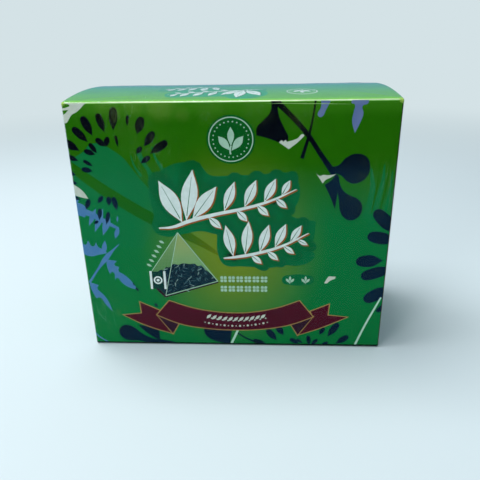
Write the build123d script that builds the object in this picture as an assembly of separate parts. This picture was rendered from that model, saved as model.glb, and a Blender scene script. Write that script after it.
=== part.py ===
from build123d import *
import os
from math import sqrt

# A shut tuck-lid carton for tea bags inside a clear overwrap of folded film. Millimetres, +Z up.
# The origin is the middle of the footprint, on the surface that the film rests on.
# The front panel faces -Y. The lid is hinged on the front panel and tucks in behind the back one.

# Carton board
carton_width = 155.0  # along X, over the side panels
carton_depth = 72.0  # along Y, front panel to back panel
carton_height = 130.5  # underside of the bottom flap to the lid's front fold
board = 0.45  # thickness of the board
crease_radius = 0.9  # outside radius of a fold
lid_rise = 2.1  # how far the lid bows up between its front and back folds
flap_inset = 0.4  # the lid and bottom flap are this much narrower than the carton on each side
tuck_slit = 0.3  # gap between the back panel and the tuck that goes in behind it
slit_depth = 3.0  # how far in the slit is open before the tuck closes it
dust_flap_reach = 15.0  # from a side crease to where its dust flap meets the lid

# Overwrap film
film = 0.12  # the film with the air it traps, where it lies in one layer
fold_inset = 1.5  # the folded ends stop this far inside the side panels' creases
end_lap = 10.0  # overlap of the two long end folds on each side panel
seam_lap = 12.0  # overlap of the film's long seam
seam_height = 28.0  # middle of that seam above the base, on the back panel

base = film  # the carton stands on one layer of film
top_fold = base + carton_height
half_width = carton_width / 2
half_depth = carton_depth / 2
tuck_fold = half_depth - board - tuck_slit  # the back fold of the lid and of the bottom flap
arch_span = half_depth + tuck_fold
arch_middle = (tuck_fold - half_depth) / 2
arch_radius = (arch_span**2 / 4 + lid_rise**2) / (2 * lid_rise)
arch_centre = top_fold + lid_rise - arch_radius
margin = 5.0  # how far a cutting shape runs past what it cuts


def arch_height(y, drop=0.0):
    """Height of the bowed lid over a place along Y, lowered by drop."""
    return arch_centre + sqrt((arch_radius - drop) ** 2 - (y - arch_middle) ** 2)


def wrapper(grow):
    """All that the carton's outer surface encloses, grown by a thickness: straight panels under a bowed lid."""
    tall = carton_height + lid_rise + margin
    block = Box(carton_width + 2 * grow, carton_depth + 2 * grow, tall)
    block = Pos(0, 0, base - grow + tall / 2) * block
    bow = Pos(0, arch_middle, arch_centre) * Rot(0, 90, 0) * Cylinder(arch_radius + grow, 2 * carton_width)
    block = block & bow
    return fillet(block.edges(), crease_radius + grow)


def side_rebates():
    """What is missing beside the narrower lid and bottom flap, over the creases of the +X dust flaps."""
    strip = Box(flap_inset + margin, carton_depth + 2 * margin, lid_rise + margin)
    outside = half_width - flap_inset + (flap_inset + margin) / 2
    above = Pos(outside, 0, top_fold - board + (lid_rise + margin) / 2) * strip
    below = Pos(outside, 0, base + board - (lid_rise + margin) / 2) * strip
    return above + below


def tuck_gap(level, away):
    """Where a flap folds in behind the back panel: level is its outer surface, away is +1 up or -1 down."""
    turn = tuck_fold - crease_radius
    fold_start = level - away * crease_radius
    outline = Curve() + [
        RadiusArc((turn, level), (tuck_fold, fold_start), away * crease_radius),
        Polyline(
            (tuck_fold, fold_start),
            (tuck_fold, level - away * slit_depth),
            (tuck_fold + tuck_slit, level - away * slit_depth),
            (tuck_fold + tuck_slit, level - away * board),
            (half_depth + margin, level - away * board),
            (half_depth + margin, level + away * margin),
            (turn, level + away * margin),
            (turn, level),
        ),
    ]
    return extrude(Plane.YZ * make_face(outline), carton_width, both=True)


def dust_flap_recess():
    """The gap seen under the bowed lid at the +X side, down to the sloping dust flap."""
    flap_level = top_fold - board
    lens = Curve() + [
        ThreePointArc(
            (-half_depth, flap_level), (arch_middle, flap_level + lid_rise), (tuck_fold, flap_level)
        ),
        Line((tuck_fold, flap_level), (-half_depth, flap_level)),
    ]
    gap = extrude(Plane.YZ * make_face(lens), carton_width, both=True)
    slope = Polyline(
        (half_width - flap_inset, flap_level),
        (half_width + margin, flap_level),
        (half_width + margin, flap_level + lid_rise),
        (half_width - dust_flap_reach, flap_level + lid_rise),
        close=True,
    )
    return gap & extrude(Plane.XZ * make_face(slope), carton_depth, both=True)


def carton():
    """The shut carton as one solid: nothing inside it can be seen."""
    solid = wrapper(0) - tuck_gap(arch_height(tuck_fold - crease_radius), 1) - tuck_gap(base, -1)
    for gap in (side_rebates(), dust_flap_recess()):
        solid = solid - gap - mirror(gap, Plane.YZ)
    return solid


def end_fold():
    """The film folded over the +X side panel: two long folds with mitred ends, and their overlap."""
    low, high = base + fold_inset, top_fold - fold_inset
    reach = half_depth - fold_inset
    mitre = reach - end_lap / 2
    corners = [
        (-reach, low),
        (-reach + mitre, low + mitre),
        (reach - mitre, low + mitre),
        (reach, low),
        (reach, high),
        (reach - mitre, high - mitre),
        (-reach + mitre, high - mitre),
        (-reach, high),
    ]
    side_plane = Plane.YZ.offset(half_width)
    folds = extrude(side_plane * make_face(Polyline(*corners, close=True)), 2 * film)
    lap = side_plane * Pos(0, (low + high) / 2) * Rectangle(end_lap, high - low - 2 * mitre)
    return folds + extrude(lap, 3 * film)


def long_seam():
    """The overlap where the two ends of the film meet along the back panel."""
    strip = Box(carton_width - 2 * fold_inset, 2 * film, seam_lap)
    return Pos(0, half_depth + film, seam_height) * strip


def overwrap():
    """The clear film: a closed skin round the carton, thicker where it is folded or lapped."""
    ends = end_fold()
    return wrapper(film) - wrapper(0) + ends + mirror(ends, Plane.YZ) + long_seam()


os.makedirs("parts", exist_ok=True)
for name, shape in {"carton": carton(), "overwrap": overwrap()}.items():
    solids = shape.solids()
    print(name, "solids", len(solids), "volume", round(sum(s.volume for s in solids), 1))
    export_step(solids[0] if len(solids) == 1 else Compound(solids), f"parts/{name}.step")
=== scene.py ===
import bmesh
import bpy
import random
from math import asin, atan2, ceil, cos, exp, hypot, pi, radians, sin, sqrt
from mathutils import Matrix, Vector, noise


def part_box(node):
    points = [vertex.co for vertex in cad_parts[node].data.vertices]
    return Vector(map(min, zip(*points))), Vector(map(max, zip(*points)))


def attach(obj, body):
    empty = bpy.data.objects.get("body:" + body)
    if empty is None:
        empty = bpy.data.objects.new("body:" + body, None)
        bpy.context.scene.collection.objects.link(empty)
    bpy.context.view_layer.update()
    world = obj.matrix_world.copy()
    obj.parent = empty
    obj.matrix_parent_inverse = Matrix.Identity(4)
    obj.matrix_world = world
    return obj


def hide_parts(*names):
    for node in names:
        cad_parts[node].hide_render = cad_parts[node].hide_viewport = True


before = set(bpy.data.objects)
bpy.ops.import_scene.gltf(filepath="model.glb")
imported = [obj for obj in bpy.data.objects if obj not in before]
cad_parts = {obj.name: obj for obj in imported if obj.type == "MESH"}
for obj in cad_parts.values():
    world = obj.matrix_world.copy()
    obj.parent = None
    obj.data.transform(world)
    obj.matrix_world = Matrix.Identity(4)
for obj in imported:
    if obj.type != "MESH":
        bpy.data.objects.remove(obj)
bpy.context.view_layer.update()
print("frame loaded")

mm = 0.001

# The carton's place comes from its CAD node. Left, right, front and back are as seen from the front.
low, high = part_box("carton")
left, right, front, back, base = low.x, high.x, low.y, high.y, low.z
board = {"thick": 0.45 * mm, "fold": 0.9 * mm, "rise": 2.1 * mm, "inset": 0.4 * mm, "slit": 0.3 * mm,
         "tuck": 14 * mm, "foldSteps": 6, "archSteps": 28, "widthSteps": 40}
fold = board["fold"]
topFold = high.z - board["rise"]
lidBack = back - board["thick"] - board["slit"]
archMiddle = (front + lidBack) / 2
archRadius = ((lidBack - front) ** 2 / 4 + board["rise"] ** 2) / (2 * board["rise"])
archCentre = high.z - archRadius
foldSlope = asin((archMiddle - front - fold) / (archRadius - fold))  # the lid's slope where its folds begin
foldLevel = archCentre + (archRadius - fold) * cos(foldSlope)  # middle of the roll of the lid's folds


def archHeight(y):
    return archCentre + sqrt(archRadius ** 2 - (y - archMiddle) ** 2)


def smooth(start, end, value):
    part = min(max((value - start) / (end - start), 0), 1)
    return part * part * (3 - 2 * part)


def lidSag(place):
    # The lid's front fold sags between its corners, which hold it up.
    near = smooth(front + 14 * mm, front + fold, place.y) * smooth(foldLevel, foldLevel + 0.7 * fold, place.z)
    return 0.14 * mm * near * cos(place.x / right * pi / 2) ** 2


# Selection and edit mode

def deselectAll():
    if bpy.context.mode != "OBJECT":
        bpy.ops.object.mode_set(mode="OBJECT")
    bpy.ops.object.select_all(action="DESELECT")


def pick(*pieces):
    deselectAll()
    for piece in pieces:
        piece.select_set(True)
    bpy.context.view_layer.objects.active = pieces[0]


def edit(piece, mode="VERT"):
    pick(piece)
    bpy.ops.object.mode_set(mode="EDIT")
    bpy.ops.mesh.select_mode(type=mode)
    bpy.ops.mesh.select_all(action="DESELECT")
    return bmesh.from_edit_mesh(piece.data)


def choose(mesh, parts, test):
    for part in parts:
        part.select_set(bool(test(part)))
    mesh.select_flush_mode()


def middle(part):
    return sum((v.co for v in part.verts), Vector()) / len(part.verts)


def finishMesh(piece, name, *materials, angle=35):
    pick(piece)
    piece.name = piece.data.name = name
    for material in materials:
        piece.data.materials.append(material)
    bpy.ops.object.shade_smooth_by_angle(angle=radians(angle))
    deselectAll()
    return piece


def outwards(piece, weld=True):
    edit(piece)
    bpy.ops.mesh.select_all(action="SELECT")
    if weld:
        bpy.ops.mesh.remove_doubles(threshold=0.0004 * mm)
    bpy.ops.mesh.normals_make_consistent(inside=False)
    deselectAll()


def applyPlace():
    bpy.ops.object.transform_apply(location=True, rotation=True, scale=True)


def chooseAlong(piece, axis, longer):
    # Every edge that runs further than a length along one axis.
    mesh = edit(piece, "EDGE")
    choose(mesh, mesh.edges, lambda e: abs(e.verts[0].co[axis] - e.verts[1].co[axis]) > longer)


def useModifier(piece, kind, **settings):
    pick(piece)
    modifier = piece.modifiers.new(kind.title(), kind)
    for key, value in settings.items():
        setattr(modifier, key, value)
    bpy.ops.object.modifier_apply(modifier=modifier.name)


# Materials

def linear(colour):
    channels = [int(colour[i:i + 2], 16) / 255 for i in (0, 2, 4)]
    return [c / 12.92 if c <= 0.04045 else ((c + 0.055) / 1.055) ** 2.4 for c in channels] + [1.0]


def addNode(tree, kind, inputs=None, **settings):
    # An input is a value, a socket, or a node, whose first output is then linked.
    made = tree.nodes.new("ShaderNode" + kind)
    for key, value in settings.items():
        setattr(made, key, value)
    for key, value in (inputs or {}).items():
        if isinstance(value, bpy.types.Node):
            value = value.outputs[0]
        if isinstance(value, bpy.types.NodeSocket):
            tree.links.new(value, made.inputs[key])
        else:
            made.inputs[key].default_value = value
    return made


def startMaterial(name):
    material = bpy.data.materials.new(name)
    material.use_nodes = True
    material.node_tree.nodes.clear()
    return material, material.node_tree


# Coated carton board: offset ink on a smooth white coat, so colour is even, with a faint mottle and a satin
# surface. The pulp's fibres show as a very low grain.
printFinish = {"mottleSize": 9 * mm, "mottle": 0.16, "grainSize": 0.35 * mm, "grain": 0.14,
               "grainDepth": 0.0007 * mm, "roughness": 0.42, "gloss": 0.03}


def coatedSurface(tree, colour, places, roughness=printFinish["roughness"], depth=printFinish["grainDepth"]):
    mottle = addNode(tree, "TexNoise", {"Vector": places, "Scale": 1 / printFinish["mottleSize"],
                                        "Detail": 3.0})
    grain = addNode(tree, "TexNoise", {"Vector": places, "Scale": 1 / printFinish["grainSize"],
                                       "Detail": 2.0})
    shade, fleck = [addNode(tree, "Math", {0: pattern, 1: share, 2: 1 - share / 2}, operation="MULTIPLY_ADD")
                    for pattern, share in ((mottle, printFinish["mottle"]), (grain, printFinish["grain"]))]
    tint = addNode(tree, "Math", {0: shade, 1: fleck}, operation="MULTIPLY")
    grey = addNode(tree, "CombineColor", {0: tint, 1: tint, 2: tint})
    toned = addNode(tree, "Mix", {0: 1.0, 6: colour, 7: grey}, data_type="RGBA", blend_type="MULTIPLY")
    rough = addNode(tree, "MapRange", {0: grain, 1: 0.3, 2: 0.7, 3: roughness - 0.05, 4: roughness + 0.06},
                    interpolation_type="SMOOTHSTEP")
    bump = addNode(tree, "Bump", {"Height": grain, "Strength": 1.0, "Distance": depth})
    shader = addNode(tree, "BsdfPrincipled", {"Base Color": toned.outputs[2], "Roughness": rough,
                                              "Normal": bump, "Specular IOR Level": printFinish["gloss"]})
    addNode(tree, "OutputMaterial", {"Surface": shader})


wear = {"start": 0.75 * mm, "full": 0.2 * mm, "flake": 1.6 * mm, "least": 0.1, "most": 0.6, "pulp": "b9b8a4"}


def foldWear(tree, places, colour):
    # Along the folds the coat cracks and pale pulp shows in flecks. At the corners the coat has worn off.
    apart = addNode(tree, "SeparateXYZ", {0: places})
    halfUp = (topFold + base) / 2
    near = []
    for axis, centre, reach in (("X", 0.0, right), ("Y", 0.0, back), ("Z", halfUp, topFold - halfUp)):
        off = addNode(tree, "Math", {0: apart.outputs[axis], 1: centre}, operation="SUBTRACT")
        off = addNode(tree, "Math", {0: off}, operation="ABSOLUTE")
        near.append(addNode(tree, "MapRange", {0: off, 1: reach - wear["start"], 2: reach - wear["full"]},
                            interpolation_type="SMOOTHSTEP"))
    pairs = [addNode(tree, "Math", {0: near[i], 1: near[j]}, operation="MINIMUM")
             for i, j in ((0, 1), (1, 2), (0, 2))]
    edge = tip = pairs[0]
    for pair in pairs[1:]:
        edge = addNode(tree, "Math", {0: edge, 1: pair}, operation="MAXIMUM")
        tip = addNode(tree, "Math", {0: tip, 1: pair}, operation="MINIMUM")
    crack = addNode(tree, "TexNoise", {"Vector": places, "Scale": 1 / wear["flake"], "Detail": 4.0,
                                       "Roughness": 0.7})
    flecks = addNode(tree, "MapRange", {0: crack, 1: 0.42, 2: 0.62, 3: wear["least"], 4: wear["most"]},
                     interpolation_type="SMOOTHSTEP")
    cracked = addNode(tree, "Math", {0: edge, 1: flecks}, operation="MULTIPLY")
    wearAndHighlight = addNode(tree, "Math", {0: cracked, 1: tip}, operation="MAXIMUM")
    return addNode(tree, "Mix", {0: wearAndHighlight, 6: colour, 7: linear(wear["pulp"])}, data_type="RGBA").outputs[2]


greens = {"climbFrom": 0.52, "climbTo": 0.8, "margin": "4a9020", "marginShare": 0.35, "lidMargin": "74c23a",
          "lidMarginShare": 0.7}


def printedGreen(name, lowGreen, highGreen, glow, glowPlace, glowSize):
    # The ground of the carton: one green below and one above, with a soft olive glow round a place. Close
    # under the top fold it turns a little paler.
    material, tree = startMaterial(name)
    places = addNode(tree, "TexCoord").outputs["Object"]
    apart = addNode(tree, "SeparateXYZ", {0: places})
    tall = topFold - base
    climb = addNode(tree, "MapRange", {0: apart.outputs["Z"], 1: base + greens["climbFrom"] * tall,
                                       2: base + greens["climbTo"] * tall}, interpolation_type="SMOOTHSTEP")
    colour = addNode(tree, "Mix", {0: climb, 6: linear(lowGreen), 7: linear(highGreen)}, data_type="RGBA")
    spread = addNode(tree, "Mapping", {"Vector": places, "Location": [-p * mm for p in glowPlace]})
    scaled = addNode(tree, "VectorMath", {0: spread, 1: [1 / (s * mm) for s in glowSize]},
                     operation="MULTIPLY")
    away = addNode(tree, "VectorMath", {0: scaled}, operation="LENGTH").outputs["Value"]
    share = addNode(tree, "MapRange", {0: away, 1: 1.0, 2: 0.0, 3: 0.0, 4: 0.92},
                    interpolation_type="SMOOTHSTEP")
    colour = addNode(tree, "Mix", {0: share, 6: colour.outputs[2], 7: linear(glow)}, data_type="RGBA")
    margin = addNode(tree, "MapRange", {0: apart.outputs["Z"], 1: topFold - 9 * mm, 2: topFold - mm, 3: 0.0,
                                        4: greens["marginShare"]}, interpolation_type="SMOOTHSTEP")
    colour = addNode(tree, "Mix", {0: margin, 6: colour.outputs[2], 7: linear(greens["margin"])},
                     data_type="RGBA")
    coatedSurface(tree, foldWear(tree, places, colour.outputs[2]), places)
    return material


def lidCoat(name, nearGreen, farGreenAndReflection, foldHighlight):
    # The lid's green is lighter than the front's, partly painted light for the stronger light on top. It
    # turns teal to the back, partly a painted reflection of bluish surroundings. The pale line along its
    # front fold is a painted highlight.
    material, tree = startMaterial(name)
    places = addNode(tree, "TexCoord").outputs["Object"]
    apart = addNode(tree, "SeparateXYZ", {0: places})
    across, up = apart.outputs["Y"], apart.outputs["Z"]
    depth = addNode(tree, "MapRange", {0: across, 1: front, 2: 0.6 * back}, interpolation_type="SMOOTHSTEP")
    colour = addNode(tree, "Mix", {0: depth, 6: linear(nearGreen), 7: linear(farGreenAndReflection)}, data_type="RGBA")
    margin = addNode(tree, "MapRange", {0: across, 1: front + 4.5 * mm, 2: front + 2 * mm, 3: 0.0,
                                        4: greens["lidMarginShare"]}, interpolation_type="SMOOTHSTEP")
    colour = addNode(tree, "Mix", {0: margin, 6: colour.outputs[2], 7: linear(greens["lidMargin"])},
                     data_type="RGBA")
    colour = foldWear(tree, places, colour.outputs[2])
    # The pale line along the front fold is a painted highlight. The rub noise breaks it into patches.
    rub = addNode(tree, "TexNoise", {"Vector": places, "Scale": 1 / (14 * mm), "Detail": 3.0})
    wearAndHighlight = addNode(tree, "MapRange", {0: rub, 1: 0.3, 2: 0.6, 3: 0.35, 4: 1.0},
                   interpolation_type="SMOOTHSTEP")
    nearFold = addNode(tree, "MapRange", {0: across, 1: front + 0.75 * mm, 2: front + 0.3 * mm},
                       interpolation_type="SMOOTHSTEP")
    onTop = addNode(tree, "MapRange", {0: up, 1: foldLevel + 0.1 * mm, 2: foldLevel + 0.4 * mm},
                    interpolation_type="SMOOTHSTEP")
    line = addNode(tree, "Math", {0: nearFold, 1: onTop}, operation="MULTIPLY")
    line = addNode(tree, "Math", {0: line, 1: wearAndHighlight}, operation="MULTIPLY")
    colour = addNode(tree, "Mix", {0: line, 6: colour, 7: linear(foldHighlight)}, data_type="RGBA")
    coatedSurface(tree, colour.outputs[2], places)
    return material


def ink(name, colour, second=None, grain=2.2, contrast=0.5, lower=None):
    # One spot ink, or a painted mark of light or shade made in the same way. A second colour comes and goes
    # in soft patches, as where two screens overlap, and a third takes over towards the foot of the panel.
    material, tree = startMaterial(name)
    places = addNode(tree, "TexCoord").outputs["Object"]
    patch = addNode(tree, "TexNoise", {"Vector": places, "Scale": 1 / (grain * mm), "Detail": 3.0})
    share = addNode(tree, "MapRange", {0: patch, 1: 0.35, 2: 0.65, 3: 0.0, 4: contrast},
                    interpolation_type="SMOOTHSTEP")
    body = linear(colour)
    if lower:
        up = addNode(tree, "SeparateXYZ", {0: places}).outputs["Z"]
        foot = addNode(tree, "MapRange", {0: up, 1: 112 * mm, 2: 92 * mm}, interpolation_type="SMOOTHSTEP")
        body = addNode(tree, "Mix", {0: foot, 6: body, 7: linear(lower)}, data_type="RGBA").outputs[2]
    mixed = addNode(tree, "Mix", {0: share, 6: body, 7: linear(second or colour)}, data_type="RGBA")
    coatedSurface(tree, mixed.outputs[2], places)
    return material


def boardPulp(name, colour, roughness=0.85):
    # Bare recycled pulp, at the cut edges and on the inside: matt, with short darker fibres.
    material, tree = startMaterial(name)
    places = addNode(tree, "TexCoord").outputs["Object"]
    stretched = addNode(tree, "Mapping", {"Vector": places, "Scale": (0.35, 1, 1)})
    fibre = addNode(tree, "TexNoise", {"Vector": stretched, "Scale": 1 / (0.5 * mm), "Detail": 5.0})
    share = addNode(tree, "MapRange", {0: fibre, 1: 0.4, 2: 0.7, 3: 0.0, 4: 0.55},
                    interpolation_type="SMOOTHSTEP")
    mixed = addNode(tree, "Mix", {0: share, 6: linear(colour), 7: linear("8f8b7c")}, data_type="RGBA")
    coatedSurface(tree, mixed.outputs[2], places, roughness, 0.02 * mm)
    return material


cartonGreen = printedGreen("coatedBoardGreen", "007235", "216500", "768a1c", (0, 0, 58), (51, 400, 62))
# The lid's light green and its teal back are partly painted light and painted reflection. f2fae0 is the
# painted highlight on its front fold.
lidGreen = lidCoat("coatedBoardLid", "64a846", "1c9a80", "f2fae0")
pulpEdge = boardPulp("boardPulpEdge", "c9c6b6")
pulpInside = boardPulp("boardPulpInside", "a9a493")
print("board materials made")


# Carton board: a sleeve of four panels, the bowed lid and the bottom flap with their tucks, and dust flaps

def makeSleeve():
    rim = topFold - board["thick"] - fold
    foot = base + board["thick"] + fold
    deselectAll()
    bpy.ops.mesh.primitive_cube_add(size=1, location=(0, (front + back) / 2, (rim + foot) / 2),
                                    scale=(right - left, back - front, rim - foot))
    sleeve = bpy.context.object
    applyPlace()
    mesh = edit(sleeve, "FACE")
    choose(mesh, mesh.faces, lambda f: abs(f.normal.z) > 0.9)
    bpy.ops.mesh.delete(type="FACE")
    chooseAlong(sleeve, 2, mm)
    bpy.ops.mesh.bevel(offset=fold, segments=board["foldSteps"], profile=0.5)
    # The front panel runs on up to the lid's fold, and the back panel to its own cut edge.
    for end, level, panel in ((rim, foldLevel, front), (rim, topFold - 0.2 * mm, back),
                              (foot, base + fold, front), (foot, base + board["thick"], back)):
        mesh = edit(sleeve, "EDGE")
        choose(mesh, mesh.edges, lambda e: abs(middle(e).y - panel) < 0.5 * fold
               and all(abs(v.co.z - end) < 0.01 * mm for v in e.verts))
        bpy.ops.mesh.extrude_region_move(TRANSFORM_OT_translate={"value": (0, 0, level - end)})
    outwards(sleeve)
    useModifier(sleeve, "SOLIDIFY", thickness=board["thick"], offset=-1, use_even_offset=True,
                material_offset=2, material_offset_rim=1)
    return finishMesh(sleeve, "cartonSleeve", cartonGreen, pulpEdge, pulpInside)


def startEdge(halfLength, y, z):
    # One straight edge along X, ready to be spun and extruded into a folded sheet.
    deselectAll()
    bpy.ops.mesh.primitive_plane_add(size=2 * halfLength, location=(0, y, z))
    sheet = bpy.context.object
    applyPlace()
    mesh = edit(sheet, "VERT")
    choose(mesh, mesh.verts, lambda v: v.co.y < y)
    bpy.ops.mesh.delete(type="VERT")
    mesh = edit(sheet, "VERT")
    for v in mesh.verts:
        v.co.y = y
    bpy.ops.mesh.select_all(action="SELECT")
    return sheet


def spin(centreY, centreZ, angle, steps):
    bpy.ops.mesh.spin(steps=steps, angle=angle, center=(0, centreY, centreZ), axis=(1, 0, 0))


def turnOver(sheet):
    edit(sheet)
    bpy.ops.mesh.select_all(action="SELECT")
    bpy.ops.mesh.flip_normals()
    deselectAll()


def foldedSheet(halfLength, bow, tuck, shape):
    # A board flap that is hinged on the front panel and tucks in behind the back one. It is modelled in the
    # lid's place, and shape takes it to its own.
    sheet = startEdge(halfLength, front, foldLevel)
    slope = foldSlope if bow else 0.0
    spin(front + fold, foldLevel, pi / 2 - slope, board["foldSteps"])
    if bow:
        spin(archMiddle, archCentre, 2 * slope, board["archSteps"])
    else:
        bpy.ops.mesh.extrude_region_move(TRANSFORM_OT_translate={"value": (0, lidBack - front - 2 * fold, 0)})
    spin(lidBack - fold, foldLevel, pi / 2 - slope, board["foldSteps"])
    bpy.ops.mesh.extrude_region_move(TRANSFORM_OT_translate={"value": (0, 0, -tuck)})
    chooseAlong(sheet, 0, mm)
    bpy.ops.mesh.subdivide(number_cuts=board["widthSteps"])
    facing = sum(f.normal.z for f in edit(sheet, "FACE").faces if abs(f.normal.z) > 0.9)
    deselectAll()
    if facing < 0:
        turnOver(sheet)
    for v in sheet.data.vertices:
        v.co = shape(v.co)
    if shape(Vector((0, 0, 1))).z < 0:  # a shape that turns the sheet upside down turns its faces too
        turnOver(sheet)
    useModifier(sheet, "SOLIDIFY", thickness=board["thick"], offset=-1, use_even_offset=True,
                material_offset=2, material_offset_rim=1)
    return sheet


def lidShape(place):
    # The outer corners of the lid's fold give way a little too.
    corner = smooth(right - 1.2 * mm, right, abs(place.x)) * smooth(front + mm, front, place.y)
    return Vector((place.x, place.y + 0.14 * mm * corner, place.z - lidSag(place)))


def bottomShape(place):
    return Vector((place.x, place.y, base + fold + foldLevel - place.z))


flaps = {"reach": 15 * mm, "short": 6 * mm, "taper": 0.12, "slope": 0.75, "acrossSteps": 12, "alongSteps": 18}


def dustFlap(side, top):
    # It is hinged on a side panel and slopes inwards under the lid, or lies flat on the bottom flap.
    reach = flaps["reach"]
    level = topFold - 2 * board["thick"] - fold if top else base + 2 * board["thick"] + fold
    deselectAll()
    bpy.ops.mesh.primitive_cube_add(size=1, location=(side * (right - fold - reach / 2), 0, 0),
                                    scale=(reach, back - front - flaps["short"], board["thick"]))
    flap = bpy.context.object
    applyPlace()
    for axis, longer, cuts in ((0, mm, flaps["acrossSteps"]), (1, 30 * mm, flaps["alongSteps"])):
        chooseAlong(flap, axis, longer)
        bpy.ops.mesh.subdivide(number_cuts=cuts)
    deselectAll()
    for v in flap.data.vertices:
        inward = (right - fold - abs(v.co.x)) / reach
        taper = 1 - flaps["taper"] * smooth(0.5, 1, inward)
        room = archHeight(min(max(v.co.y, front + fold), lidBack - fold)) - topFold - 0.7 * mm
        rise = fold - board["thick"] / 2
        if top:
            rise += min(flaps["slope"] * board["rise"] * smooth(0, 1, inward), room)
        v.co = Vector((v.co.x, v.co.y * taper, level + (rise if top else -rise) + v.co.z))
    outwards(flap)
    name = ("top" if top else "bottom") + ("Right" if side > 0 else "Left") + "DustFlap"
    return finishMesh(flap, name, pulpInside)


sleeve = makeSleeve()
lid = foldedSheet(right - board["inset"], True, board["tuck"], lidShape)
finishMesh(lid, "cartonLid", lidGreen, pulpEdge, pulpInside)
bottomFlap = foldedSheet(right - board["inset"], False, board["tuck"], bottomShape)
finishMesh(bottomFlap, "bottomFlap", cartonGreen, pulpEdge, pulpInside)
dustFlaps = [dustFlap(side, top) for side in (-1, 1) for top in (True, False)]
print("carton board modelled")


# Print: each ink lies on the board as a thin plate, and a later ink's plate is a little higher

inkStep = 0.007 * mm
inkSunk = 0.01 * mm  # how far a plate's underside is inside the board
inkPlanes = 12  # shapes of one ink that cross lie in planes of their own, less than a step apart


def ontoFront(u, v, lift):
    # The front panel, which runs on round its folds to the sides, the lid and the bottom.
    over = max(abs(u) - (right - fold), 0)
    turn = min(over / fold, pi / 2)
    rise = min(max(v - foldLevel, 0) / fold, pi / 2) - min(max(base + fold - v, 0) / fold, pi / 2)
    side = 1 if u > 0 else -1
    x = u if not over else side * (right - fold + (fold + lift) * sin(turn) * cos(rise))
    y = front + fold - (fold + lift) * cos(turn) * cos(rise) + over - turn * fold
    z = min(max(v, base + fold), foldLevel) + (fold + lift) * sin(rise)
    return Vector((x, y, z - lidSag(Vector((x, y, z)))))


def ontoLid(u, v, lift):
    slope = asin((v - archMiddle) / archRadius)
    place = Vector((u, v + lift * sin(slope), archHeight(v) + lift * cos(slope)))
    return place - Vector((0, 0, lidSag(place)))


def ontoBack(u, v, lift):
    return Vector((-u, back + lift, v))


def ontoRight(u, v, lift):
    return Vector((right + lift, u, v))


def ontoLeft(u, v, lift):
    return Vector((left - lift, -u, v))


# Outlines, in millimetres. A third value marks a sharp corner, and the rest run through smoothly.

def leaf(rootX, rootY, tipX, tipY, width, belly=0.6, sharpTip=False):
    alongX, alongY = tipX - rootX, tipY - rootY
    length = hypot(alongX, alongY)
    acrossX, acrossY = -alongY / length * width / 2, alongX / length * width / 2
    midX, midY = rootX + alongX * belly, rootY + alongY * belly
    tip = (tipX, tipY, 1) if sharpTip else (tipX, tipY)
    return [(rootX, rootY, 1), (midX + acrossX, midY + acrossY), tip, (midX - acrossX, midY - acrossY)]


def stroke(points, widths):
    # A line through points, as wide at each as widths says.
    there, backAgain = [], []
    for i, (x, y) in enumerate(points):
        x0, y0 = points[max(i - 1, 0)]
        x1, y1 = points[min(i + 1, len(points) - 1)]
        length = hypot(x1 - x0, y1 - y0)
        acrossX, acrossY = -(y1 - y0) / length * widths[i] / 2, (x1 - x0) / length * widths[i] / 2
        sharp = (1,) if i in (0, len(points) - 1) else ()
        there.append((x + acrossX, y + acrossY) + sharp)
        backAgain.append((x - acrossX, y - acrossY) + sharp)
    return there + backAgain[::-1]


def disc(x, y, radius, knots=8):
    turns = [2 * pi * i / knots for i in range(knots)]
    return [(x + radius * cos(a), y + radius * sin(a)) for a in turns]


def pillShape(x, y, width, height):
    r = height / 2
    flat = width / 2 - r
    return ([(x + flat + r * sin(a * pi / 4), y + r * cos(a * pi / 4)) for a in range(5)]
            + [(x - flat - r * sin(a * pi / 4), y - r * cos(a * pi / 4)) for a in range(5)])


def grown(points, by):
    # The same outline, larger by a width all round.
    area = sum(a[0] * b[1] - b[0] * a[1] for a, b in zip(points, points[1:] + points[:1]))
    turn = 1 if area > 0 else -1
    larger = []
    for before, here, after in zip(points[-1:] + points[:-1], points, points[1:] + points[:1]):
        first = Vector((here[0] - before[0], here[1] - before[1])).normalized()
        second = Vector((after[0] - here[0], after[1] - here[1])).normalized()
        out = (first + second).normalized()
        spread = by / max(out.dot(first), 0.45)
        larger.append((here[0] + turn * out.y * spread, here[1] - turn * out.x * spread) + tuple(here[2:]))
    return larger


def moved(shape, x, y):
    return [(p[0] + x, p[1] + y) + tuple(p[2:]) for p in shape]


def trim(plane, normal):
    bpy.ops.mesh.select_all(action="SELECT")
    bpy.ops.mesh.bisect(plane_co=plane, plane_no=normal, use_fill=True, clear_outer=True)


def score(axis, places):
    normal = [1 if i == axis else 0 for i in range(3)]
    for place in places:
        bpy.ops.mesh.select_all(action="SELECT")
        bpy.ops.mesh.bisect(plane_co=[place * n for n in normal], plane_no=normal)


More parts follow.
